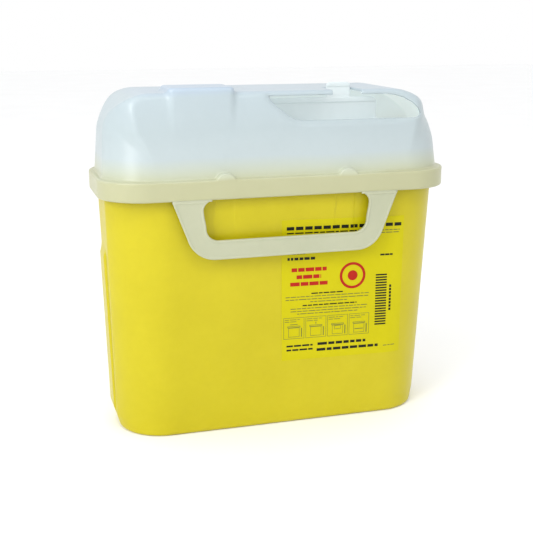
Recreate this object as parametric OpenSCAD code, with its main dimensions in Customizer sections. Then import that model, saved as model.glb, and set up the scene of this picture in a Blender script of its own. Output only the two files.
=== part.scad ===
// Wall or bench sharps container: a tapered tub, a domed lid with a horizontal
// entry window, a counterbalanced drop tray and a hanging carry handle.
// Origin: centre of the base on the surface it stands on. +X right, -Y front, +Z up.

/* [Overall] */
// Width over the lid's skirt
skirt_w = 304.8; // [296:0.2:312]
// Depth over the lid's skirt
skirt_d = 122; // [118:0.5:126]
// Height of the lid's domed roof
roof_z = 292.8; // [288:0.2:296]

/* [Base] */
// Width of the tub across its end panels, just under the skirt
tub_top_w = 292; // [286:0.5:294]
// Width of the tub across its end panels, near the floor
tub_low_w = 282; // [276:0.5:284]
// Width at the footprint
tub_foot_w = 275; // [268:0.5:276]
// Depth of the tub at the top
tub_top_d = 105.3; // [102:0.1:107]
// Depth of the tub at the footprint
tub_foot_d = 84.6; // [80:0.1:90]
// Wall thickness of the tub
wall = 2.0; // [1.6:0.1:2.6]
// Radius of the tub's vertical corners
corner_r = 50; // [48:1:54]
// Height at which the lid's skirt begins
skirt_z0 = 208.5; // [208:0.1:211]

/* [Lid] */
// Height of the deck on top of the skirt
skirt_z1 = 224.6; // [223:0.1:226]
// Thickness of the lid's walls
lid_wall = 2.0; // [1.6:0.1:2.4]
// Radius of the dome's left shoulder
left_r = 35.3; // [32:0.5:38]
// Radius of the dome's right shoulder
right_r = 48.3; // [45:0.5:50]

/* [Handle] */
// Overall width of the handle at its hinge
handle_w = 194.6; // [188:0.2:198]
// Height of the handle's lowest edge
handle_low_z = 158.8; // [154:0.2:162]
// Thickness of the handle
handle_t = 3.0; // [2.4:0.1:3.4]

/* [Drop tray] */
// Radius of the tray's trunnions
trunnion_r = 3.0; // [2.6:0.1:3.2]
// Running clearance round a trunnion
trunnion_gap = 0.06; // [0.04:0.01:0.09]
// Height of the finger tab's tip
tab_top_z = 298.5; // [297:0.1:299]

/* [Label] */
// Left edge of the label
label_x0 = -2; // [-4:0.5:2]
// Right edge of the label
label_x1 = 110; // [106:0.5:112]
// Lower edge of the label
label_z0 = 59; // [54:0.5:64]
// Upper edge of the label
label_z1 = 185.5; // [180:0.5:188]

/* [Hidden] */
eps = 0.02;
// tub sections: [z, half width, half depth, half height of the end panel, corner radius]
foot_sec = [0, tub_foot_w / 2, tub_foot_d / 2, 10, 36];
low_sec = [12, tub_low_w / 2, tub_foot_d / 2 + 0.8, 10.5, corner_r];
top_sec = [skirt_z0 - 4, tub_top_w / 2, tub_top_d / 2, 20.8, corner_r];
rim_top = skirt_z1 - lid_wall - 0.4;
// lid
skirt_t = 2.2;
skirt_r = 33;
dome_w = skirt_w / 2 - 4.8;
dome_top_w = dome_w - 2.6;
dome_d = skirt_d / 2 - 4.8;
dome_top_d = 43;
edge_r = 8;
// tray pivot line
piv_y = -20;
piv_z = 258;
tray_x0 = -14;
tray_x1 = 94;
// handle hinge line
hinge_y = -skirt_d / 2 - 0.2;
hinge_z = skirt_z0 - 0.2;
handle_top = skirt_z0 - 0.4;
// latch positions along X
latch_x = 52.6;
latch_w = 17;

// Half outline of a wide section: a flat front, a big corner arc and a flat end
// panel that the arc meets in a crease. g grows it evenly.
function arc_cy(d, r) = -(d - r);
function arc_cx(w, d, y0, r) = w - sqrt(r * r - pow(-y0 - arc_cy(d, r), 2));
function corner_pts(w, d, y0, r, g, n = 10) =
    let (cy = arc_cy(d, r), cx = arc_cx(w, d, y0, r), a1 = atan2(-y0 - cy, w - cx))
    [for (i = [0:n]) let (a = -90 + (a1 + 90) * i / n)
        [min(cx + (r + g) * cos(a), w + g), cy + (r + g) * sin(a)]];
function rev(v) = [for (i = [len(v) - 1:-1:0]) v[i]];
function section(w, d, y0, r, g = 0) =
    let (c = corner_pts(w, d, y0, r, g))
    concat(c, rev([for (p = c) [p[0], -p[1]]]), [for (p = c) [-p[0], -p[1]]], rev([for (p = c) [-p[0], p[1]]]));

module slab(s, g, z, h = 0.01) {
    translate([0, 0, z]) linear_extrude(height = h) polygon(section(s[1], s[2], s[3], s[4], g));
}

// Solid tapered body of the tub, grown by g
module tub_solid(g = 0, z0 = 0, z1 = rim_top) {
    hull() {
        slab(foot_sec, g, z0);
        slab(low_sec, g, 12);
        slab(top_sec, g, top_sec[0]);
    }
    slab(top_sec, g, top_sec[0] - eps, z1 - top_sec[0] + eps);
}

module end_rail(s) {
    // raised guide rail on an end panel, sloped at its top
    translate([0, 18, 0]) rotate([90, 0, 0]) linear_extrude(height = 24)
        polygon([[s * 136, 14], [s * 141.6, 14], [s * 142.8, 18], [s * 146.6, 154], [s * 144.4, 166], [s * 140, 166]]);
}

module raised_panel(s, g = 0) {
    // two low steps that swell out of the wall towards the rim, under the latches
    for (p = [[latch_x + latch_w / 2, 0.7], [latch_x - latch_w / 2, 1.5]])
        translate([-p[0] - g, 0, 0]) rotate([90, 0, 90])
            linear_extrude(height = 2 * p[0] + 2 * g)
                polygon([[s * 44, 166], [s * (tub_top_d / 2 - 2.4 + g), 166], [s * (tub_top_d / 2 + p[1] + g), top_sec[0] - 2],
                         [s * (tub_top_d / 2 + p[1] + g), rim_top - 1], [s * 44, rim_top - 1]]);
}

module container_base() {
    color([0.93, 0.84, 0.12]) difference() {
        union() {
            tub_solid();
            // rolled rim that the lid sits on
            translate([0, 0, rim_top - 3]) linear_extrude(height = 3)
                polygon(section(skirt_w / 2 - skirt_t - 0.8, skirt_d / 2 - skirt_t - 0.8, 28, skirt_r - 2));
            for (s = [-1, 1]) raised_panel(s);
            for (s = [-1, 1]) end_rail(s);
        }
        // the hollow
        hull() {
            slab(foot_sec, -wall - 0.6, 2.4);
            slab(low_sec, -wall, 13);
            slab(top_sec, -wall, top_sec[0]);
        }
        slab(top_sec, -wall, top_sec[0] - eps, 40);
    }
}

// Solid of the dome, shrunk by t all round
module dome_solid(t = 0) {
    intersection() {
        translate([-170, -80, skirt_z1 - 6]) cube([340, 160, 90]);
        dome_hull(t);
    }
}

module dome_hull(t) {
    hull() {
        translate([0, 0, skirt_z1 - 6]) linear_extrude(height = 6)
            polygon(section(dome_w, dome_d, 27, 29, -t));
        for (k = [0, 1, 2]) {
            a = 45 * k;
            e = edge_r * (1 - cos(a));
            yy = dome_top_d - t - edge_r * (1 - sin(a));
            translate([-(dome_top_w - left_r), yy, roof_z - left_r]) rotate([90, 0, 0])
                cylinder(r = left_r - t - e, h = 2 * yy, $fn = 64);
            translate([dome_top_w - right_r, yy, roof_z - right_r]) rotate([90, 0, 0])
                cylinder(r = right_r - t - e, h = 2 * yy, $fn = 64);
        }
    }
}

module boss_solid(t = 0) {
    // hump on the left of the roof, upright in front
    translate([-68.2, 0, 0]) hull() for (sx = [-1, 1]) {
        for (y = [-40.3, -14]) translate([sx * 21, y, 268])
            cylinder(r = 6.5 - t, h = 23, $fn = 32);
        for (y = [-38.8, -14]) translate([sx * 20.2, y, 268])
            cylinder(r = 3.5 - t, h = 29 - t, $fn = 32);
    }
}

module window_cut() {
    // entry window in the front wall
    translate([0, -36, 0]) rotate([90, 0, 0]) linear_extrude(height = 30)
        polygon([[-10.5, 288], [-8.3, 283.7], [-4.8, 280.3], [1.2, 276.1], [6.5, 271.8], [12, 269.2], [18, 268.2],
                 [116, 268.2], [121, 269], [123.6, 271.2], [121, 276], [115.5, 281], [108, 285], [100, 287.4], [92, 288.4]]);
}

module lid() {
    color([0.83, 0.87, 0.86, 0.7]) {
        difference() {
            union() {
                difference() {
                    union() {
                        dome_solid();
                        // skirt and deck
                        translate([0, 0, skirt_z0]) linear_extrude(height = skirt_z1 - skirt_z0)
                            polygon(section(skirt_w / 2, skirt_d / 2, 30, skirt_r));
                        boss_solid();
                        for (x = [-latch_x, latch_x]) {
                            intersection() {
                                translate([x, skirt_d / 2, skirt_z1 - 3.9]) rotate([90, 0, 0])
                                    cylinder(r = 8.9, h = skirt_d, $fn = 48);
                                translate([x - 10, -skirt_d / 2, skirt_z1 - 2]) cube([20, skirt_d, 12]);
                            }
                        }
                    }
                    // hollow of the skirt, dome and boss
                    translate([0, 0, skirt_z0 - 1]) linear_extrude(height = skirt_z1 - lid_wall - skirt_z0 + 1)
                        polygon(section(skirt_w / 2, skirt_d / 2, 30, skirt_r, -skirt_t));
                    dome_solid(lid_wall);
                    boss_solid(lid_wall);
                    for (x = [-latch_x, latch_x], s = [-1, 1])
                        translate([x, s > 0 ? skirt_d / 2 - 1.8 : -skirt_d / 2 + 6, skirt_z1 - 3.9]) rotate([90, 0, 0])
                            cylinder(r = 7.4, h = 4.2, $fn = 48);
                }
                // web that carries the left trunnion
                intersection() {
                    translate([-20.5, -60, 246]) cube([2, 52, 60]);
                    dome_solid(0.4);
                }
                // boss that carries the right trunnion
                intersection() {
                    translate([131, piv_y, piv_z]) rotate([0, 90, 0]) cylinder(r = 6, h = 30, $fn = 48);
                    dome_solid(0.4);
                }
            }
            window_cut();
            // slot that the finger tab moves in
            translate([44.6, -60, 284]) cube([25.8, 47, 12]);
            // trunnion bores
            translate([-24, piv_y, piv_z]) rotate([0, 90, 0]) cylinder(r = trunnion_r + trunnion_gap, h = 8, $fn = 48);
            translate([128, piv_y, piv_z]) rotate([0, 90, 0]) cylinder(r = trunnion_r + trunnion_gap, h = 11.5, $fn = 48);
        }
    }
}

module drop_tray() {
    color([0.80, 0.86, 0.82, 0.85]) {
        // trunnions and their hub
        translate([-23, piv_y, piv_z]) rotate([0, 90, 0]) cylinder(r = trunnion_r, h = 162, $fn = 48);
        translate([tray_x0, piv_y, piv_z]) rotate([0, 90, 0]) cylinder(r = 4.5, h = tray_x1 - tray_x0, $fn = 48);
        // floor, tail and counterweight bar
        translate([tray_x0, 0, 0]) rotate([90, 0, 90]) linear_extrude(height = tray_x1 - tray_x0)
            polygon([[-42, 260.4], [-42, 258.6], [-22, 256.4], [-18, 255.2], [2, 254.6], [2, 250.5], [10, 250.5], [10, 258.5],
                     [2, 258.5], [-17, 258.6], [-18, 261], [-22, 259]]);
        // upright panel with a rounded outer corner
        translate([0, -15, 0]) rotate([90, 0, 0]) linear_extrude(height = 2.4)
            union() {
                translate([tray_x0, 256]) square([tray_x1 - tray_x0, 22]);
                translate([tray_x0, 270]) square([tray_x1 - tray_x0 - 7, 14.6]);
                translate([tray_x1 - 7, 277.6]) circle(r = 7, $fn = 48);
            }
        // foot of the panel
        translate([tray_x0, -20, 254.4]) cube([tray_x1 - tray_x0, 6, 4]);
        // finger tab
        translate([0, -15, 0]) rotate([90, 0, 0]) linear_extrude(height = 2.4)
            polygon([[45.9, 280], [69.1, 280], [69.1, tab_top_z - 3], [68.2, tab_top_z - 0.9], [66.1, tab_top_z],
                     [48.9, tab_top_z], [46.8, tab_top_z - 0.9], [45.9, tab_top_z - 3]]);
        // low end cheeks
        for (x = [tray_x0, tray_x1 - 2])
            translate([x, 0, 0]) rotate([90, 0, 90]) linear_extrude(height = 2)
                polygon([[-42, 259], [-42, 262], [-36, 265.5], [-15.5, 266.5], [-15.5, 256], [-22, 256.5]]);
    }
}

// One half of the handle's outline, from the hinge edge down
function bend(cx, cz, r, a0, a1, n = 8) = [for (i = [0:n]) let (a = a0 + (a1 - a0) * i / n) [cx + r * cos(a), cz + r * sin(a)]];
hw = handle_w / 2;
outer_half = concat([[hw, handle_top], [hw - 1, handle_top - 2.2]],
    bend(hw - 35.4, handle_low_z + 24, 24, -20.5, -90, 10));
inner_half = concat([[hw - 31.5, handle_top + 1], [hw - 31, handle_top - 0.6], [hw - 28.6, handle_top - 1.6], [hw - 26.6, handle_top - 3.6], [hw - 25.4, handle_top - 7], [hw - 27.4, handle_top - 20]],
    bend(hw - 38, handle_low_z + 26.4, 10.4, 0, -88, 6));

module carry_handle() {
    color([0.80, 0.81, 0.72, 0.8])
    translate([0, -skirt_d / 2 + handle_t, 0]) rotate([90, 0, 0]) linear_extrude(height = handle_t) difference() {
        polygon(concat(outer_half, rev([for (p = outer_half) [-p[0], p[1]]])));
        polygon(concat([for (p = inner_half) p], rev([for (p = inner_half) [-p[0], p[1]]])));
    }
}

module front_label() {
    color([0.90, 0.83, 0.08]) intersection() {
        translate([label_x0, -70, label_z0]) cube([label_x1 - label_x0, 50, label_z1 - label_z0]);
        difference() {
            union() {
                tub_solid(0.22);
                raised_panel(-1, 0.22);
            }
            tub_solid(0.02, -1);
            raised_panel(-1, 0.02);
        }
    }
}

container_base();
lid();
drop_tray();
carry_handle();
front_label();
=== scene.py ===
import bpy
import math
import numpy as np
from mathutils import Matrix, Vector


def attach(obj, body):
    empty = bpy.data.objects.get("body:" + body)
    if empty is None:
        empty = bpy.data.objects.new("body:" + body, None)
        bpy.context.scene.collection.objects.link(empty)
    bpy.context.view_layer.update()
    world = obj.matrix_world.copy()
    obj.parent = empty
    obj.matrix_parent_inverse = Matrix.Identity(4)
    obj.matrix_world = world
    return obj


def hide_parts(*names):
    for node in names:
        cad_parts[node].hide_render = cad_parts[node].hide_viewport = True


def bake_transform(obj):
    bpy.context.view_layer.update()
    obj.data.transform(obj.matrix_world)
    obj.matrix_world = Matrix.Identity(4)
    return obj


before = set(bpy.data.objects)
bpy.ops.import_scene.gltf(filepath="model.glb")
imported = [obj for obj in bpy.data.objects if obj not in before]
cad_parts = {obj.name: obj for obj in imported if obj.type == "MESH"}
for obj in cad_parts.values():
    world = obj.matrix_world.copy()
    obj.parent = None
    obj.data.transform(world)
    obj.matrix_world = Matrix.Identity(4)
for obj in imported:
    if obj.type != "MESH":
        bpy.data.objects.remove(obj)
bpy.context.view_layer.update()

MM = 0.001
rng = np.random.default_rng(7)

# ------------------------------------------------------------------ signed distance helpers (mm)


def smax(a, b, k):
    h = np.clip(0.5 + 0.5 * (a - b) / k, 0, 1)
    return b + (a - b) * h + k * h * (1 - h)


def smin(a, b, k):
    return -smax(-a, -b, k)


def rmax(a, b, r):
    """Intersection of two solids with a round edge of radius r."""
    return np.minimum(np.maximum(a + r, b + r), 0) + np.hypot(np.maximum(a + r, 0), np.maximum(b + r, 0)) - r


def rmin(a, b, r):
    """Union of two solids with a round inner corner of radius r."""
    return -rmax(-a, -b, r)


def interp(z, pts):
    return np.interp(z, [p[0] for p in pts], [p[1] for p in pts])


def rbox2(x, y, bx, by, r):
    u = np.abs(x) - bx
    v = np.abs(y) - by
    return np.hypot(np.maximum(u, 0), np.maximum(v, 0)) + np.minimum(np.maximum(u, v), 0) - r


def section(x, y, w, d, y0, r, crease=0.5):
    """Plan outline: flat front, big corner arc, flat end panel that the arc meets in a crease."""
    cx = w - np.sqrt(np.maximum(r * r - (d - r - y0) ** 2, 1))
    return smax(rbox2(x, y, cx, d - r, r), np.abs(x) - w, crease)


def box3(x, y, z, lo, hi, r=0.0):
    c = [(a + b) / 2 for a, b in zip(lo, hi)]
    h = [(b - a) / 2 - r for a, b in zip(lo, hi)]
    q = [np.abs(p - cc) - hh for p, cc, hh in zip((x, y, z), c, h)]
    out = np.sqrt(sum(np.maximum(v, 0) ** 2 for v in q))
    return out + np.minimum(np.maximum(np.maximum(q[0], q[1]), q[2]), 0) - r


def poly2(x, y, pts):
    """Signed distance to a polygon."""
    p = np.asarray(pts, float)
    n = len(p)
    d = np.full(x.shape, 1e9)
    s = np.ones(x.shape)
    j = n - 1
    for i in range(n):
        ex, ey = p[j] - p[i]
        wx, wy = x - p[i, 0], y - p[i, 1]
        t = np.clip((wx * ex + wy * ey) / (ex * ex + ey * ey), 0, 1)
        bx, by = wx - ex * t, wy - ey * t
        d = np.minimum(d, bx * bx + by * by)
        c1 = y >= p[i, 1]
        c2 = y < p[j, 1]
        c3 = ex * wy > ey * wx
        flip = (c1 & c2 & c3) | (~c1 & ~c2 & ~c3)
        s = np.where(flip, -s, s)
        j = i
    return s * np.sqrt(d)


def cyl_x(x, y, z, cy, cz, r, x0, x1, e=0.4):
    return rmax(np.hypot(y - cy, z - cz) - r, np.abs(x - (x0 + x1) / 2) - (x1 - x0) / 2, e)


def sdf_mesh(f, lo, hi, h, iters=3):
    """Dual mesh of the surface f = 0, its points pulled onto the surface."""
    B = 4
    lo = np.asarray(lo, float) - h * 1.37
    n = ((np.asarray(hi, float) + h * 1.5 - lo) / (h * B)).astype(int) + 1
    ax = [lo[a] + (np.arange(n[a]) + 0.5) * h * B for a in range(3)]
    X, Y, Z = np.meshgrid(*ax, indexing="ij")
    fc = f(X, Y, Z)
    act = np.abs(fc) < h * B * 1.35
    N = n * B
    cells = np.repeat(np.repeat(np.repeat(act, B, 0), B, 1), B, 2)
    pm = np.zeros(N + 1, bool)
    for i in (0, 1):
        for j in (0, 1):
            for k in (0, 1):
                pm[i : N[0] + i, j : N[1] + j, k : N[2] + k] |= cells
    F = np.empty(N + 1, np.float32)
    big = np.where(fc < 0, -1.0, 1.0).astype(np.float32) * 100
    bigr = np.repeat(np.repeat(np.repeat(big, B, 0), B, 1), B, 2)
    F[:-1, :-1, :-1] = bigr
    F[-1], F[:, -1], F[:, :, -1] = 100, 100, 100
    I = np.nonzero(pm)
    F[I] = f(lo[0] + I[0] * h, lo[1] + I[1] * h, lo[2] + I[2] * h)
    S = F < 0
    mixed = np.zeros(N, bool)
    base = S[:-1, :-1, :-1]
    for i in (0, 1):
        for j in (0, 1):
            for k in (0, 1):
                mixed |= S[i : N[0] + i, j : N[1] + j, k : N[2] + k] != base
    mixed &= cells
    C = np.stack(np.nonzero(mixed), -1)
    acc = np.zeros((len(C), 3))
    cnt = np.zeros(len(C))
    corners = [(i, j, k) for i in (0, 1) for j in (0, 1) for k in (0, 1)]
    vals = {c: F[C[:, 0] + c[0], C[:, 1] + c[1], C[:, 2] + c[2]].astype(float) for c in corners}
    for a in corners:
        for ax_ in range(3):
            if a[ax_] == 1:
                continue
            b = list(a); b[ax_] = 1; b = tuple(b)
            fa, fb = vals[a], vals[b]
            cr = (fa < 0) != (fb < 0)
            t = np.where(cr, fa / np.where(cr, fa - fb, 1), 0)
            p = np.tile(np.array(a, float), (len(C), 1))
            p[:, ax_] = t
            acc[cr] += p[cr]
            cnt[cr] += 1
    V = lo + (C + acc / np.maximum(cnt, 1)[:, None]) * h
    idx = np.full(N, -1, np.int64)
    idx[C[:, 0], C[:, 1], C[:, 2]] = np.arange(len(C))
    quads = []
    for ax_ in range(3):
        sl0 = [slice(None)] * 3; sl1 = [slice(None)] * 3
        sl0[ax_] = slice(0, -1); sl1[ax_] = slice(1, None)
        cr = S[tuple(sl0)] != S[tuple(sl1)]
        E = np.stack(np.nonzero(cr), -1)
        o = [a for a in range(3) if a != ax_]
        ok = (E[:, o[0]] > 0) & (E[:, o[1]] > 0) & (E[:, o[0]] < N[o[0]]) & (E[:, o[1]] < N[o[1]]) & (E[:, ax_] < N[ax_])
        E = E[ok]
        q = []
        for d0, d1 in ((-1, -1), (0, -1), (0, 0), (-1, 0)):
            c = E.copy()
            c[:, o[0]] += d0
            c[:, o[1]] += d1
            q.append(idx[c[:, 0], c[:, 1], c[:, 2]])
        q = np.stack(q, -1)
        neg = S[E[:, 0], E[:, 1], E[:, 2]]
        flip = neg if ax_ != 1 else ~neg
        q = np.where(flip[:, None], q, q[:, ::-1])
        quads.append(q[(q >= 0).all(1)])
    Q = np.concatenate(quads)
    e = 0.05
    for _ in range(iters):
        x, y, z = V.T
        g = np.stack([f(x + e, y, z) - f(x - e, y, z), f(x, y + e, z) - f(x, y - e, z), f(x, y, z + e) - f(x, y, z - e)], -1) / (2 * e)
        m = np.maximum((g * g).sum(1), 0.05)
        step = -f(x, y, z)[:, None] * g / m[:, None]
        L = np.linalg.norm(step, axis=1)
        step *= np.minimum(1, 0.5 * h / np.maximum(L, 1e-9))[:, None]
        V = V + step
    return V, Q


def make_mesh(name, V, Q):
    me = bpy.data.meshes.new(name)
    n = Q.shape[1]
    me.vertices.add(len(V))
    me.vertices.foreach_set("co", (np.asarray(V) * MM).astype(np.float32).ravel())
    me.loops.add(Q.size)
    me.loops.foreach_set("vertex_index", Q.astype(np.int32).ravel())
    me.polygons.add(len(Q))
    me.polygons.foreach_set("loop_start", np.arange(0, Q.size, n, dtype=np.int32))
    me.polygons.foreach_set("loop_total", np.full(len(Q), n, dtype=np.int32))
    me.polygons.foreach_set("use_smooth", np.ones(len(Q), bool))
    me.update(calc_edges=True)
    me.validate()
    ob = bpy.data.objects.new(name, me)
    bpy.context.scene.collection.objects.link(ob)
    return ob


# ------------------------------------------------------------------ dimensions (mm), as in the CAD
SK_W, SK_D, SK0, SK1 = 152.4, 61.0, 208.5, 224.6
ROOF, LR, RR = 292.8, 35.3, 48.3
DW, DD, DTW, DTD = 147.6, 56.2, 145.0, 43.0
RIM = 221.8
LATCH = 52.6
PIV = (-20.0, 258.0)
FINE = 1.0

# ------------------------------------------------------------------ tub
TUB_Z = [0, 12, 204.5, 230]


def tub_section(x, y, z, g=0.0):
    w = np.interp(z, TUB_Z, [137.5, 141, 146, 146.2])
    d = np.interp(z, TUB_Z, [42.3, 43.1, 52.65, 52.8])
    y0 = np.interp(z, TUB_Z, [10, 10.5, 20.8, 20.8])
    r = np.interp(z, TUB_Z, [38, 50, 50, 50])
    return section(x, y, w, d, y0, r) - g


def tub_front_y(x, z, g=0.0):
    """y of the tub's front surface at x, z (scalars)."""
    w = np.interp(z, TUB_Z, [137.5, 141, 146, 146.2])
    d = np.interp(z, TUB_Z, [42.3, 43.1, 52.65, 52.8])
    y0 = np.interp(z, TUB_Z, [10, 10.5, 20.8, 20.8])
    r = np.interp(z, TUB_Z, [38, 50, 50, 50])
    cx = w - np.sqrt(np.maximum(r * r - (d - r - y0) ** 2, 1))
    u = np.maximum(np.abs(x) - cx, 0)
    up = 0.0
    for hw_, p_ in ((61.1, 0.55), (44.1, 1.15)):
        up = max(up, float(np.interp(z, [158, 172, 202.5], [-0.6, 0.35 * p_, p_]) * np.interp(abs(x), [hw_ - 0.3, hw_ + 0.9], [1, 0])))
    return -((d - r) + np.sqrt(np.maximum((r + g) ** 2 - u * u, 0))) - up


def f_tub(x, y, z):
    s = tub_section(x, y, z)
    out = rmax(s, -z, 3.5)
    d = np.interp(z, TUB_Z, [42.3, 43.1, 52.65, 52.8])
    for hw_, p_ in ((61.1, 0.55), (44.1, 1.15)):
        up = np.interp(z, [158, 172, 202.5], [-0.6, 0.35 * p_, p_])
        pad = rmax(np.abs(x) - hw_, np.abs(y) - (d + up), 0.5)
        out = np.minimum(out, np.maximum(pad, np.maximum(z - 220, 150 - z)))
    xr = np.interp(z, [14, 18, 154, 166], [141.6, 142.8, 146.6, 143.6])
    rail = rmax(np.maximum(np.abs(y - 6) - 12, np.maximum(14 - z, z - 166)), np.abs(x) - xr, 0.8)
    out = smin(out, rail, 1.2)
    rim = rmax(section(x, y, 149.2, 57.8, 28, 31), np.abs(z - 220.3) - 1.5, 0.8)
    out = np.minimum(rmax(out, z - RIM, 0.8), rim)
    cav = smax(s + 2.4, 2.6 - z, 6)
    return smax(out, -cav, 0.7)


# ------------------------------------------------------------------ lid
WIN = [[-11.5, 288.5], [-8.3, 283.7], [-4.8, 280.3], [0.6, 276.1], [6, 271.9], [11.5, 269.3], [18, 268.2],
       [116, 268.2], [121, 269], [123.6, 271.2], [121, 276], [115.5, 281], [108, 285], [100, 287.4], [92, 288.5]]


def dome_xz(x, z):
    W = np.interp(z, [SK1, 257, 300], [DW, DTW + 0.6, DTW])
    rr = np.where(x > 0, RR, LR)
    u = np.abs(x) - (W - rr)
    v = z - (ROOF - rr)
    a = np.hypot(np.maximum(u, 0), np.maximum(v, 0)) + np.minimum(np.maximum(u, v), 0) - rr
    t = np.clip(0.5 + (v - u) / 44.0, 0, 1)
    return a, t * t * (3 - 2 * t)


def dome(x, y, z, g=0.0):
    a, t = dome_xz(x, z)
    b = (np.abs(y) - np.interp(z, [SK1, 300], [DD, DD - (DD - DTD) * (300 - SK1) / (ROOF - SK1)])) * 0.982
    r = 42 * (1 - t) + 5 * t
    delta = 1.8 * (1 - t ** 3)
    return smax(rmax(a - delta, b, r), a, 0.5) - g


def boss(x, y, z, g=0.0):
    side = rbox2(x + 68.2, y + 26.3, 27.5 - 5.5, 20.6 - 5.5, 5.5)
    return rmax(side, z - 297.0, 3.0) - g


def f_lid(x, y, z):
    s = np.where(y < -30, poly2(x, z, WIN), 50.0)
    roll = np.where(s < 6, 2.4 * np.clip(1 - np.maximum(s, 0) / 6.0, 0, 1) ** 2, 0.0) * np.clip((114 - x) / 14, 0, 1)
    ye = np.where(y < 0, np.minimum(y - roll, -0.01), y)
    o = dome(x, ye, z)
    o = smax(o, SK1 - 6 - z, 0.3)
    bo = np.maximum(boss(x, y, z), 262 - z)
    o = smin(o, bo, 3.2)
    arch = rmax(np.hypot(np.abs(x) - LATCH, z - (SK1 - 3.9)) - 8.9, np.abs(y) - SK_D, 0.8)
    arch = np.maximum(arch, SK1 - 3 - z)
    sk = section(x, y, SK_W, SK_D, 26, 40)
    skirt = rmax(sk, np.abs(z - (SK0 + SK1) / 2) - (SK1 - SK0) / 2, 1.3)
    skirt = np.maximum(smin(skirt, arch, 1.0), np.abs(y) - SK_D)
    o = smin(o, skirt, 1.6)
    # hollow
    i = dome(x, ye, z) + 2.4
    i = smin(i, np.maximum(boss(x, y, z) + 2.4, 262 - z), 3.0)
    hs = rmax(sk + 2.4, z - (SK1 - 2.4), 1.0)
    pocket = np.maximum(np.hypot(np.abs(x) - LATCH, z - (SK1 - 3.9)) - 6.3, np.abs(np.abs(y) - 56.6) - 2.0)
    hol = np.minimum(np.minimum(i, hs), pocket)
    o = smax(o, -hol, 0.5)
    # what carries the tray
    web = np.maximum(np.abs(x + 19.5) - 1.0, np.maximum(np.maximum(y + 8, 246 - z), dome(x, y, z, -0.6)))
    kn = np.maximum(cyl_x(x, y, z, PIV[0], PIV[1], 6, 131, 150), dome(x, y, z, -0.6))
    o = np.minimum(np.minimum(o, web), kn)
    # openings
    o = smax(o, -np.maximum(s, y + 34), 0.7)
    slot = box3(x, y, z, (44.6, -80, 283), (70.4, -13, 310), 1.2)
    o = smax(o, -slot, 0.7)
    bore = np.hypot(y - PIV[0], z - PIV[1]) - 3.06
    o = np.maximum(o, -np.maximum(bore, np.abs(x + 19.5) - 4))
    o = np.maximum(o, -np.maximum(bore, np.abs(x - 134) - 6))
    return o


# ------------------------------------------------------------------ tray
T0, T1 = -14.0, 94.0


def f_tray(x, y, z):
    body = [[-42, 260.4], [-42, 258.4], [-22, 256.2], [-18, 255.2], [2, 254.6], [2, 250.5], [10, 250.5], [10, 258.5],
            [2, 258.5], [-17, 258.6], [-18, 261], [-22, 259]]
    prof = rmax(poly2(y, z, body), np.abs(x - (T0 + T1) / 2) - (T1 - T0) / 2, 0.5)
    hub = cyl_x(x, y, z, PIV[0], PIV[1], 4.5, T0, T1, 0.5)
    pin = cyl_x(x, y, z, PIV[0], PIV[1], 3.0, -23, 139, 0.8)
    dy = -16.2 + 2.2 * np.clip((z - 262) / 24, 0, 1) * 0
    P = [[T0, 256], [T1, 256], [T1, 277.6], [T1 - 0.6, 280.6], [T1 - 2.2, 283.0], [T1 - 4.4, 284.2], [T1 - 7, 284.6], [T0, 284.6]]
    pan = rmax(poly2(x, z, P), np.abs(y + 16.2) - 1.2, 0.5)
    # bevelled stiffening rim along the top of the panel
    rib = rmax(np.maximum(poly2(x, z, P), 280.4 - z), np.abs(y + 17.0) - 1.7, 0.6)
    tab = [[47.3, 280], [69.1, 280], [69.1, 294.2], [68.2, 296.4], [66.1, 297.3], [50.3, 297.3], [48.2, 296.4], [47.3, 294.2]]
    tb = rmax(poly2(x, z, tab), np.abs(y + 16.2) - 1.2, 0.6)
    grip = rmax(rmax(poly2(x, z, tab), 293.6 - z, 0.3), np.abs(y + 16.6) - 1.6, 0.6)
    foot = box3(x, y, z, (T0, -20, 254.4), (T1, -14.0, 258.4), 0.4)
    ck = [[-42, 258.6], [-42, 262], [-36, 265.5], [-15.5, 266.5], [-15.5, 256], [-22, 256.3]]
    cheek = rmax(poly2(y, z, ck), np.abs(np.abs(x - 40.0) - 53.0) - 1.0, 0.3)
    o = smin(prof, hub, 0.8)
    o = np.minimum(o, pin)
    o = smin(o, pan, 0.8)
    o = smin(o, rib, 0.4)
    o = smin(o, tb, 0.8)
    o = smin(o, grip, 0.4)
    o = np.minimum(o, foot)
    return smin(o, cheek, 0.5)


# ------------------------------------------------------------------ handle
def arc(cx, cz, r, a0, a1, n=10):
    return [[cx + r * math.cos(math.radians(a0 + (a1 - a0) * i / n)), cz + r * math.sin(math.radians(a0 + (a1 - a0) * i / n))] for i in range(n + 1)]


HW, HLOW, HTOP = 97.3, 158.8, 208.1
outer = [[HW, HTOP], [HW - 1, HTOP - 2.2]] + arc(HW - 35.4, HLOW + 24, 24, -20.5, -90, 14)
inner = [[HW - 33.5, HTOP + 6], [HW - 32, HTOP - 0.2], [HW - 30.4, HTOP - 0.9], [HW - 28.6, HTOP - 1.9], [HW - 26.9, HTOP - 3.6], [HW - 25.9, HTOP - 5.6],
         [HW - 25.5, HTOP - 8], [HW - 25.9, HTOP - 12], [HW - 27.4, HTOP - 20]] + arc(HW - 38, HLOW + 26.4, 10.4, 0, -88, 10)
H_OUT = outer + [[-p[0], p[1]] for p in outer[::-1]]
H_IN = inner + [[-p[0], p[1]] for p in inner[::-1]]


def f_handle(x, y, z):
    p = smax(poly2(x, z, H_OUT), -poly2(x, z, H_IN), 1.0)
    plate = rmax(p, np.abs(y + 59.5) - 1.5, 0.8)
    rec = np.maximum(p + 2.0, np.maximum(y + 60.6, -70 - y))
    return smax(plate, -rec, 0.6)


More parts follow.
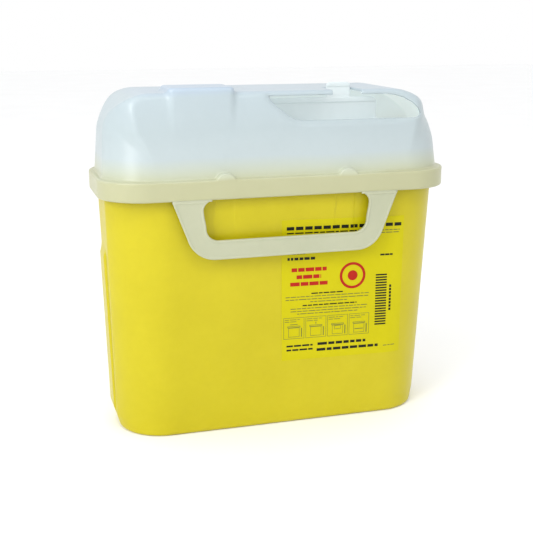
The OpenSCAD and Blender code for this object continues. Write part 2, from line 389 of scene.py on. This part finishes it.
# ------------------------------------------------------------------ materials
def new_mat(name):
    m = bpy.data.materials.new(name)
    m.use_nodes = True
    nt = m.node_tree
    b = nt.nodes["Principled BSDF"]
    return m, nt, b


def srgb(r, g, b):
    f = lambda c: c / 12.92 if c <= 0.04045 else ((c + 0.055) / 1.055) ** 2.4
    return (f(r / 255), f(g / 255), f(b / 255), 1)


def noise(nt, scale, detail=3, rough=0.5, vec=None):
    n = nt.nodes.new("ShaderNodeTexNoise")
    n.inputs["Scale"].default_value = scale
    n.inputs["Detail"].default_value = detail
    n.inputs["Roughness"].default_value = rough
    if vec is not None:
        nt.links.new(vec, n.inputs["Vector"])
    return n


def ramp(nt, fac, stops):
    r = nt.nodes.new("ShaderNodeValToRGB")
    while len(r.color_ramp.elements) < len(stops):
        r.color_ramp.elements.new(0.5)
    for e, (p, c) in zip(r.color_ramp.elements, stops):
        e.position = p
        e.color = c
    nt.links.new(fac, r.inputs["Fac"])
    return r


def maprange(nt, fac, a, b, c, d):
    m = nt.nodes.new("ShaderNodeMapRange")
    for i, v in zip(("From Min", "From Max", "To Min", "To Max"), (a, b, c, d)):
        m.inputs[i].default_value = v
    nt.links.new(fac, m.inputs["Value"])
    return m


def plastic(name, dark, light, rough=(0.3, 0.42), bump=0.05, bump_scale=900, trans=0.0, sss=0.0, sss_r=(1, 0.8, 0.4), sss_scale=0.004, ior=1.49, milk_and_painted_tint=None, spec=0.5, painted_glow=None):
    m, nt, b = new_mat(name)
    co = nt.nodes.new("ShaderNodeTexCoord")
    big = noise(nt, 14, 3, 0.5, co.outputs["Object"])
    small = noise(nt, 160, 4, 0.6, co.outputs["Object"])
    mix = nt.nodes.new("ShaderNodeMix")
    mix.data_type = "FLOAT"
    mix.inputs[0].default_value = 0.3
    nt.links.new(big.outputs["Fac"], mix.inputs[2])
    nt.links.new(small.outputs["Fac"], mix.inputs[3])
    col = ramp(nt, mix.outputs[0], [(0.35, dark), (0.65, light)])
    base = col.outputs["Color"]
    if milk_and_painted_tint:  # stops of (z in metres, colour), height by height: painted light, the colour of what stands behind the milky wall painted in as if seen through it
        sep = nt.nodes.new("ShaderNodeSeparateXYZ")
        nt.links.new(co.outputs["Object"], sep.inputs[0])
        wob = nt.nodes.new("ShaderNodeMath")
        wob.operation = "MULTIPLY_ADD"
        wob.inputs[1].default_value = 0.006
        nt.links.new(big.outputs["Fac"], wob.inputs[0])
        nt.links.new(sep.outputs["Z"], wob.inputs[2])
        z0, z1 = milk_and_painted_tint[0][0], milk_and_painted_tint[-1][0]
        g = maprange(nt, wob.outputs[0], z0 + 0.003, z1 + 0.003, 0.0, 1.0)
        zr = ramp(nt, g.outputs["Result"], [((z - z0) / (z1 - z0), c) for z, c in milk_and_painted_tint])
        mx = nt.nodes.new("ShaderNodeMix")
        mx.data_type = "RGBA"
        mx.blend_type = "MULTIPLY"
        mx.inputs[0].default_value = 1.0
        nt.links.new(base, mx.inputs[6])
        nt.links.new(zr.outputs["Color"], mx.inputs[7])
        base = mx.outputs[2]
    nt.links.new(base, b.inputs["Base Color"])
    rg = maprange(nt, small.outputs["Fac"], 0.3, 0.7, rough[0], rough[1])
    nt.links.new(rg.outputs["Result"], b.inputs["Roughness"])
    fine = noise(nt, bump_scale, 4, 0.6, co.outputs["Object"])
    wav = noise(nt, 45, 2, 0.4, co.outputs["Object"])
    bp = nt.nodes.new("ShaderNodeBump")
    bp.inputs["Strength"].default_value = bump
    bp.inputs["Distance"].default_value = 0.0004
    nt.links.new(fine.outputs["Fac"], bp.inputs["Height"])
    bp2 = nt.nodes.new("ShaderNodeBump")
    bp2.inputs["Strength"].default_value = 0.12
    bp2.inputs["Distance"].default_value = 0.0006
    nt.links.new(wav.outputs["Fac"], bp2.inputs["Height"])
    nt.links.new(bp.outputs["Normal"], bp2.inputs["Normal"])
    nt.links.new(bp2.outputs["Normal"], b.inputs["Normal"])
    b.inputs["IOR"].default_value = ior
    b.inputs["Specular IOR Level"].default_value = spec
    if painted_glow:  # painted glow: an emission that stands in for daylight coming through the milky wall from its other side
        b.inputs["Emission Color"].default_value = painted_glow[0]
        b.inputs["Emission Strength"].default_value = painted_glow[1]
    b.inputs["Transmission Weight"].default_value = trans
    b.inputs["Subsurface Weight"].default_value = sss
    b.inputs["Subsurface Radius"].default_value = sss_r
    b.inputs["Subsurface Scale"].default_value = sss_scale
    return m


M_TUB = plastic("tub_yellow", srgb(187, 174, 15), srgb(194, 181, 22), rough=(0.30, 0.40), bump=0.06, sss=0.15, sss_r=(1.0, 0.8, 0.15), sss_scale=0.005, spec=0.3)
# lid colour by height with painted light in it: tub yellow painted onto the skirt and low dome as if seen through the
# wall, a bluer painted reflection toward the roof
MILK_AND_PAINTED_LIGHT = ((0.205, srgb(178, 178, 140)), (0.2235, srgb(178, 178, 142)), (0.2262, srgb(186, 190, 164)), (0.2420, srgb(178, 189, 191)),
        (0.2640, srgb(174, 186, 189)), (0.2900, srgb(176, 189, 194)), (0.2940, srgb(174, 188, 199)), (0.2980, srgb(171, 186, 201)))
M_LID = plastic("lid_milky", (0.96, 0.96, 0.96, 1), (1, 1, 1, 1), rough=(0.30, 0.36), bump=0.02, sss=0.2, sss_r=(1.0, 1.0, 1.0), sss_scale=0.0015, milk_and_painted_tint=MILK_AND_PAINTED_LIGHT, spec=0.5)
# inside faces: painted glow, an emission that brightens them as if daylight came through the milky wall
M_LID_IN = plastic("lid_milky_inside_painted_glow", (0.96, 0.96, 0.96, 1), (1, 1, 1, 1), rough=(0.30, 0.40), bump=0.05, milk_and_painted_tint=MILK_AND_PAINTED_LIGHT, painted_glow=((0.92, 1.0, 0.99, 1), 0.48))
# the tray carries a painted glow too, an emission that stands in for the light coming through it
M_TRAY = plastic("tray_milky_painted_glow", srgb(185, 194, 196), srgb(192, 200, 202), rough=(0.34, 0.46), bump=0.05, sss=0.2, sss_r=(1.0, 1.0, 1.0), sss_scale=0.0015,
                 painted_glow=((0.93, 1.0, 0.98, 1), 0.19))
# handle colour: the milky plastic with the yellow of the tub behind it painted in as if seen through it
M_HANDLE = plastic("handle_milky", srgb(173, 176, 149), srgb(180, 182, 156), rough=(0.28, 0.40), bump=0.05, sss=0.3, sss_r=(1.0, 1.0, 1.0), sss_scale=0.0015)
M_LABEL = plastic("label_film", srgb(190, 180, 4), srgb(196, 186, 8), rough=(0.30, 0.36), bump=0.03, bump_scale=1400, spec=0.15)
M_INK = plastic("ink_black", srgb(16, 20, 10), srgb(26, 30, 14), rough=(0.35, 0.5), bump=0.02, spec=0.2)
M_RED = plastic("ink_red", srgb(164, 26, 10), srgb(176, 36, 14), rough=(0.35, 0.5), bump=0.02, spec=0.2)
M_LINE = plastic("ink_line", srgb(104, 108, 18), srgb(120, 122, 24), rough=(0.35, 0.5), bump=0.02)
M_SMALL = plastic("ink_small", srgb(96, 98, 22), srgb(114, 114, 26), rough=(0.35, 0.5), bump=0.02)

# ------------------------------------------------------------------ pieces
V, Q = sdf_mesh(f_tub, (-151, -60, -1), (151, 60, 224), 1.1)
tub = make_mesh("tub_shell", V, Q)
tub.data.materials.append(M_TUB)
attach(tub, "base"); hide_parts("container_base")

V, Q = sdf_mesh(f_lid, (-154, -62, 208), (154, 62, 300), FINE)
lid = make_mesh("lid_dome", V, Q)
lid.data.materials.append(M_LID)
lid.data.materials.append(M_LID_IN)
C = V[Q].mean(1)
# faces inside the dome take the inside material with its painted glow
inner_face = (dome(C[:, 0], C[:, 1], C[:, 2]) < -2.0) & (C[:, 2] > SK1 - 4)
win_d = np.where(C[:, 1] < -30, poly2(C[:, 0], C[:, 2], WIN), 50.0)
inner_face &= (win_d > 0.9) | (C[:, 1] > -34)
lid.data.polygons.foreach_set("material_index", inner_face.astype(np.int32))
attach(lid, "lid"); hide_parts("lid")

V, Q = sdf_mesh(f_tray, (-25, -44, 249), (141, 12, 300), 0.8)
tray = make_mesh("tray_flap", V, Q)
tray.data.materials.append(M_TRAY)
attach(tray, "tray"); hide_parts("drop_tray")

V, Q = sdf_mesh(f_handle, (-99, -62, 157), (99, -57, 210), 0.7)
hand = make_mesh("handle_loop", V, Q)
hand.data.materials.append(M_HANDLE)
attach(hand, "handle"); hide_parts("carry_handle")

# ------------------------------------------------------------------ label and its generic marks
U0, U1, V0, V1 = -2.0, 110.0, 59.0, 185.7


def lay(u, v):
    """Label coordinates to the tub's x, z: it is stuck on slightly askew."""
    return u - 0.022 * (v - 122), v - 0.018 * (u - 54.5)


class Sheet:
    """Flat marks laid on the tub's front, lifted g off it, t thick."""

    def __init__(self, g, t):
        self.g, self.t = g, t
        self.v, self.f, self.m = [], [], []

    def add(self, pts, faces, mat):
        b = len(self.v)
        n = len(pts)
        for k in (0, 1):
            for u, v in pts:
                x, z = lay(u, v)
                self.v.append((x, float(tub_front_y(x, z, self.g + k * self.t)), z))
        edges = {}
        for f in faces:
            for i in range(len(f)):
                edges[(f[i], f[(i + 1) % len(f)])] = True
        for f in faces:
            self.f.append(tuple(b + n + i for i in f))
            self.f.append(tuple(b + i for i in f[::-1]))
        for i, j in edges:
            if (j, i) not in edges:
                self.f.append((b + i, b + j, b + n + j, b + n + i))
        self.m += [mat] * (len(self.f) - len(self.m))

    def rect(self, u0, u1, v0, v1, mat=0, step=1.2):
        nu = max(1, int(math.ceil((u1 - u0) / step)))
        nv = max(1, int(math.ceil((v1 - v0) / 12.0)))
        pts = [(u0 + (u1 - u0) * i / nu, v0 + (v1 - v0) * j / nv) for j in range(nv + 1) for i in range(nu + 1)]
        at = lambda i, j: j * (nu + 1) + i
        self.add(pts, [(at(i, j), at(i + 1, j), at(i + 1, j + 1), at(i, j + 1)) for j in range(nv) for i in range(nu)], mat)

    def row(self, u0, u1, v, h, mat=0, lo=2.0, hi=6.0, gap=0.9):
        """A broken bar that stands for a row of small print."""
        u = u0
        while u < u1 - 0.4:
            w = min(float(rng.uniform(lo, hi)), u1 - u)
            self.rect(u, u + w, v - h / 2, v + h / 2, mat)
            u += w + gap

    def frame(self, u0, u1, v0, v1, w, mat=0):
        self.rect(u0, u1, v0, v0 + w, mat)
        self.rect(u0, u1, v1 - w, v1, mat)
        self.rect(u0, u0 + w, v0 + w, v1 - w, mat)
        self.rect(u1 - w, u1, v0 + w, v1 - w, mat)

    def ring(self, u, v, r0, r1, mat=0, n=56):
        pts = [(u + r * math.cos(6.28318530718 * i / n), v + r * math.sin(6.28318530718 * i / n)) for r in (r0, r1) for i in range(n)]
        self.add(pts, [(i, n + i, n + (i + 1) % n, (i + 1) % n) for i in range(n)], mat)

    def disc(self, u, v, r, mat=0, n=32):
        pts = [(u + r * math.cos(6.28318530718 * i / n), v + r * math.sin(6.28318530718 * i / n)) for i in range(n)] + [(u, v)]
        self.add(pts, [(i, (i + 1) % n, n) for i in range(n)], mat)

    def build(self, name, mats):
        me = bpy.data.meshes.new(name)
        me.from_pydata([(x * MM, y * MM, z * MM) for x, y, z in self.v], [], self.f)
        me.update()
        for m in mats:
            me.materials.append(m)
        me.polygons.foreach_set("material_index", np.array(self.m, dtype=np.int32))
        ob = bpy.data.objects.new(name, me)
        bpy.context.scene.collection.objects.link(ob)
        return ob


film = Sheet(0.05, 0.12)
film.rect(U0, U1, V0, V1, step=2.0)
film = film.build("label_sheet", [M_LABEL])
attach(film, "base"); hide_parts("front_label")

BLACK, RED, LINE, SMALL = 0, 1, 2, 3
ink = Sheet(0.155, 0.06)
# fill line: a row of plain bars
for i in range(13):
    u0 = 2.4 + i * 8.2
    ink.rect(u0, u0 + 6.6, 176.7, 179.7, BLACK)
ink.row(2.6, 68, 174.0, 1.1, BLACK, 3, 8, 1.2)
ink.row(88, 106, 173.4, 0.8, SMALL)
ink.row(88, 106, 171.2, 0.8, SMALL)
ink.row(3.2, 19, 156.1, 1.7, BLACK, 2, 4, 0.5)
ink.row(3.2, 28.5, 151.3, 2.4, BLACK, 2, 5, 1.0)
ink.row(88.3, 100, 151.2, 1.6, BLACK, 3, 5, 0.5)
ink.row(6.9, 38.7, 141.4, 3.4, RED, 5, 9, 0.9)
ink.row(11.4, 33.7, 134.9, 3.4, RED, 5, 9, 0.9)
ink.row(5.7, 39.7, 128.6, 3.4, RED, 5, 9, 0.9)
ink.ring(62.8, 133.8, 9.6, 12.0, RED)
ink.disc(62.8, 133.8, 4.6, RED)
for i in range(20):
    v = 86.2 + i * 2.42
    ink.rect(84.6, 95.2, v, v + 1.35, BLACK)
ink.row(0, 0, 0, 1)
for i in range(8):
    ink.rect(97.6, 99.6, 99.2 + i * 3.1, 101.5 + i * 3.1, BLACK)
ink.row(25, 54, 119.6, 1.1, BLACK, 3, 7)
for v, a0, a1 in ((117.0, 1.5, 79), (114.5, 1.5, 78), (112.0, 24, 58), (106.2, 6, 77), (103.8, 6, 76), (101.4, 12, 68)):
    ink.row(a0, a1, v, 0.75, SMALL, 2, 7, 0.8)
ink.row(17, 67, 108.9, 1.1, BLACK, 3, 7)
for k in range(4):
    u = -0.4 + 20.2 * k
    ink.frame(u, u + 19.0, 78.7, 98.4, 0.42, LINE)
    ink.row(u + 1.2, u + 15, 96.4, 0.6, LINE)
    ink.row(u + 1.2, u + 12, 94.6, 0.6, LINE)
    ink.frame(u + 4.4, u + 14.6, 80.4, 89.0, 0.42, LINE)
    ink.frame(u + 3.6, u + 15.4, 89.0, 90.6, 0.5, LINE)
    if k == 0:
        ink.rect(u + 6, u + 13, 91.6, 92.3, LINE)
    if k == 1:
        ink.rect(u + 9.1, u + 9.9, 91.4, 93.4, LINE)
    if k == 2:
        ink.frame(u + 6.5, u + 12.5, 85.0, 88.4, 0.42, LINE)
    if k == 3:
        ink.rect(u + 5.4, u + 13.6, 83.6, 84.4, LINE)
    ink.rect(u + 16.0, u + 17.0, 80.2, 88.6, LINE)
ink.row(31, 76.3, 72.4, 2.5, BLACK, 4, 9, 1.3)
ink.row(30.2, 88.3, 66.9, 2.5, BLACK, 4, 9, 1.3)
ink.row(2.4, 26.5, 72.0, 1.6, BLACK, 4, 8, 1.0)
ink.row(2.4, 26.5, 68.2, 1.6, BLACK, 4, 8, 1.0)
ink.row(93.5, 105, 66.0, 0.8, SMALL, 2, 4)
ink = ink.build("label_print", [M_INK, M_RED, M_LINE, M_SMALL])
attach(ink, "base")

# ------------------------------------------------------------------ film hinge of the handle
hv, hf = [], []
for s_ in (-1, 1):
    xs = np.linspace(64.6, 97.0, 18)
    zs = np.linspace(207.5, 209.1, 12)
    b0 = len(hv)
    for k in (0, 1):
        for j, z in enumerate(zs):
            t_ = abs(z - 208.3) / 0.8
            half = 0.22 + 0.2 * min(1.0, t_) ** 2
            for x_ in xs:
                hv.append((s_ * x_, -60.45 + (-half if k else half), z))
    n_ = len(xs) * len(zs)
    at = lambda k, i, j: b0 + k * n_ + j * len(xs) + i
    for j in range(len(zs) - 1):
        for i in range(len(xs) - 1):
            for k in (0, 1):
                q = (at(k, i, j), at(k, i + 1, j), at(k, i + 1, j + 1), at(k, i, j + 1))
                hf.append(q if (k == 1) == (s_ > 0) else q[::-1])
    for j in range(len(zs) - 1):
        for i in (0, len(xs) - 1):
            q = (at(0, i, j), at(1, i, j), at(1, i, j + 1), at(0, i, j + 1))
            hf.append(q if (i == 0) == (s_ > 0) else q[::-1])
    for i in range(len(xs) - 1):
        for j in (0, len(zs) - 1):
            q = (at(0, i, j), at(0, i + 1, j), at(1, i + 1, j), at(1, i, j))
            hf.append(q if (j == 0) == (s_ > 0) else q[::-1])
me = bpy.data.meshes.new("film_hinge")
me.from_pydata([(x * MM, y * MM, z * MM) for x, y, z in hv], [], hf)
me.update()
me.polygons.foreach_set("use_smooth", np.ones(len(me.polygons), bool))
me.materials.append(M_HANDLE)
hinge = bpy.data.objects.new("film_hinge", me)
bpy.context.scene.collection.objects.link(hinge)
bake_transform(hinge)

# ------------------------------------------------------------------ camera, light, floor
F_PX, YAW, PITCH, ROLL = 972.924, math.radians(16.662), math.radians(14.375), math.radians(0.044)
CAM = Vector((-243.765, -811.408, 351.089)) * MM
fwd = Vector((math.sin(YAW) * math.cos(PITCH), math.cos(YAW) * math.cos(PITCH), -math.sin(PITCH)))
right = Vector((math.cos(YAW), -math.sin(YAW), 0))
up = right.cross(fwd)
r2 = right * math.cos(ROLL) + up * math.sin(ROLL)
u2 = -right * math.sin(ROLL) + up * math.cos(ROLL)
cam_d = bpy.data.cameras.new("cam")
cam_d.sensor_width = 36
cam_d.lens = 36 * F_PX / 533
cam_d.clip_start = 0.01
cam_d.clip_end = 50
cam = bpy.data.objects.new("cam", cam_d)
bpy.context.scene.collection.objects.link(cam)
cam.matrix_world = Matrix(((r2.x, u2.x, -fwd.x, CAM.x), (r2.y, u2.y, -fwd.y, CAM.y), (r2.z, u2.z, -fwd.z, CAM.z), (0, 0, 0, 1)))
bpy.context.scene.camera = cam

fm, nt, b = new_mat("floor_pale")
co = nt.nodes.new("ShaderNodeTexCoord")
nn = noise(nt, 6, 4, 0.5, co.outputs["Object"])
rc = ramp(nt, nn.outputs["Fac"], [(0.3, (0.94, 0.94, 0.94, 1)), (0.7, (0.96, 0.96, 0.96, 1))])
nt.links.new(rc.outputs["Color"], b.inputs["Base Color"])
b.inputs["Roughness"].default_value = 0.8
b.inputs["Specular IOR Level"].default_value = 0.1
me = bpy.data.meshes.new("floor")
S = 6.0
me.from_pydata([(-S, -S, 0), (S, -S, 0), (S, S, 0), (-S, S, 0)], [], [(0, 1, 2, 3)])
me.materials.append(fm)
floor = bpy.data.objects.new("floor", me)
bpy.context.scene.collection.objects.link(floor)

world = bpy.data.worlds.new("studio")
bpy.context.scene.world = world
world.use_nodes = True
wt = world.node_tree
bg = wt.nodes["Background"]
wc = wt.nodes.new("ShaderNodeTexCoord")
ws = wt.nodes.new("ShaderNodeSeparateXYZ")
wt.links.new(wc.outputs["Generated"], ws.inputs[0])
wr = ramp(wt, maprange(wt, ws.outputs["X"], -1.0, 0.2, 0.0, 1.0).outputs["Result"],
          [(0.0, (0.72, 0.73, 0.74, 1)), (0.45, (0.85, 0.86, 0.87, 1)), (0.7, (1.0, 1.0, 1.0, 1))])
wt.links.new(wr.outputs["Color"], bg.inputs["Color"])
bg.inputs["Strength"].default_value = 1.0


def area(name, loc, target, size, power, color=(1, 1, 1), size_y=None):
    d = bpy.data.lights.new(name, "AREA")
    d.energy = power
    d.color = color
    d.shape = "RECTANGLE"
    d.size = size
    d.size_y = size_y or size
    o = bpy.data.objects.new(name, d)
    bpy.context.scene.collection.objects.link(o)
    o.location = loc
    o.rotation_euler = (Vector(target) - Vector(loc)).to_track_quat("-Z", "Y").to_euler()
    return o


sun_d = bpy.data.lights.new("sun", "SUN")
sun_d.energy = 0.3
sun_d.angle = math.radians(50)
sun = bpy.data.objects.new("sun", sun_d)
bpy.context.scene.collection.objects.link(sun)
sun.rotation_euler = (Vector((0, 0, 0)) - Vector((-0.35, -0.15, 1.0))).to_track_quat("-Z", "Y").to_euler()
area("key", (-1.35, -0.95, 0.95), (0, 0, 0.2), 0.70, 14.0, (1, 1, 1))
area("strip", (-0.25, -0.95, 1.35), (0, 0, 0.25), 1.6, 4.5, (0.97, 0.99, 1), 0.05)

sc = bpy.context.scene
sc.view_settings.view_transform = "Standard"
sc.view_settings.look = "None"
